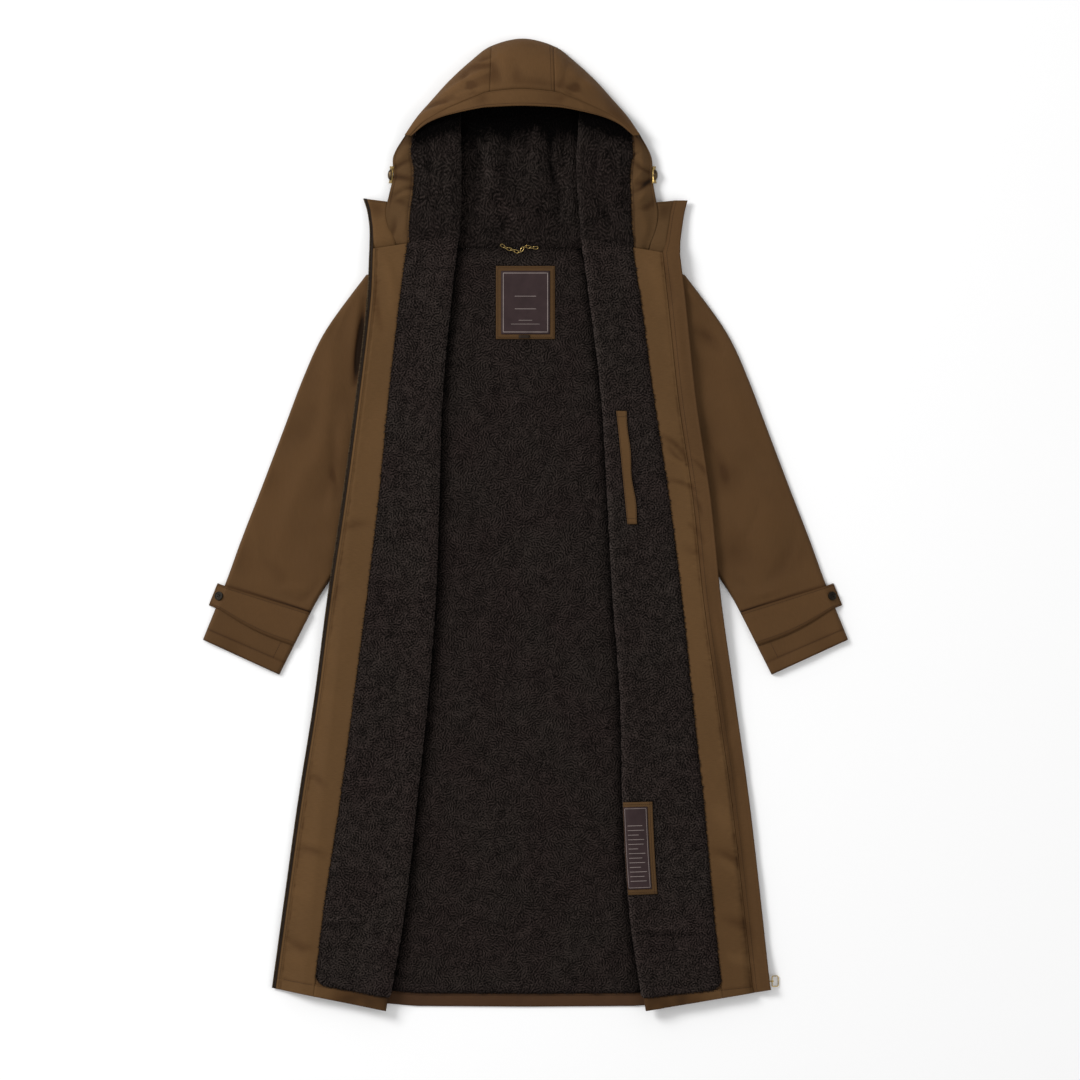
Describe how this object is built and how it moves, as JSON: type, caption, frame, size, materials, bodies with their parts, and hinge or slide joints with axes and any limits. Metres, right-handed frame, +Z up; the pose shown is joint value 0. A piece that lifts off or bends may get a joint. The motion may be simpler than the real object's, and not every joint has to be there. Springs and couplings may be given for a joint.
{
  "type": "long hooded waterproof coat laid open",
  "caption": "Full-length hooded waterproof coat lying open on its back, fronts turned back to show a deep fleece lining, with facings, zip, placket and cuff straps.",
  "frame": {"origin": "middle of the coat's outline, on the surface that it lies on", "axes": "+X to the right of a viewer who looks down with the hood at the top, +Y from the hem to the hood, +Z up from the surface"},
  "size_m": [1.059, 1.5956, 0.06],
  "materials": {
    "shell": "matte proofed cotton",
    "facing": "matte proofed cotton",
    "fleece": "curly pile",
    "tape": "woven tape",
    "label": "woven",
    "brass": "polished",
    "horn": "satin"
  },
  "bodies": {
    "coat": {"back_hem_band": "shell", "back_lining": "fleece", "back_shell": "shell", "care_label": "label", "care_patch": "facing", "cord_lock_left": "brass", "cord_lock_right": "brass", "cuff_button_left": "horn", "cuff_button_right": "horn", "cuff_strap_left": "shell", "cuff_strap_right": "shell", "facing_left": "facing", "facing_right": "facing", "front_hem_band_left": "shell", "front_hem_band_right": "shell", "front_lining_left": "fleece", "front_lining_right": "fleece", "front_shell_left": "shell", "front_shell_right": "shell", "hanger_link_01": "brass", "hanger_link_02": "brass", "hanger_link_03": "brass", "hanger_link_04": "brass", "hanger_link_05": "brass", "hanger_link_06": "brass", "hanger_link_07": "brass", "hanger_link_08": "brass", "hanger_link_09": "brass", "hanger_link_10": "brass", "hanger_link_11": "brass", "hood_back_lining": "fleece", "hood_back_shell": "shell", "hood_brim": "shell", "hood_crown_centre": "shell", "hood_crown_left": "shell", "hood_crown_lining": "fleece", "hood_crown_right": "shell", "hood_facing_left": "facing", "hood_facing_right": "facing", "hood_side_lining_left": "fleece", "hood_side_lining_right": "fleece", "hood_side_shell_left": "shell", "hood_side_shell_right": "shell", "neck_guard_left": "facing", "neck_guard_right": "facing", "neck_label": "label", "neck_patch": "facing", "placket_right": "shell", "pocket_welt": "facing", "size_tab": "tape", "sleeve_under_left": "shell", "sleeve_under_right": "shell", "sleeve_upper_left": "shell", "sleeve_upper_right": "shell", "zip_slider": "brass", "zip_tape_left": "tape", "zip_tape_right": "tape"},
    "pull": {"zip_pull": "brass"}
  },
  "joints": [
    {"name": "pull_swing", "type": "hinge", "parent": "coat", "child": "pull", "pos_m": [0.4046, -0.74923, 0.007], "axis": [0, 1, 0], "range_deg": [-115, 3]}
  ]
}
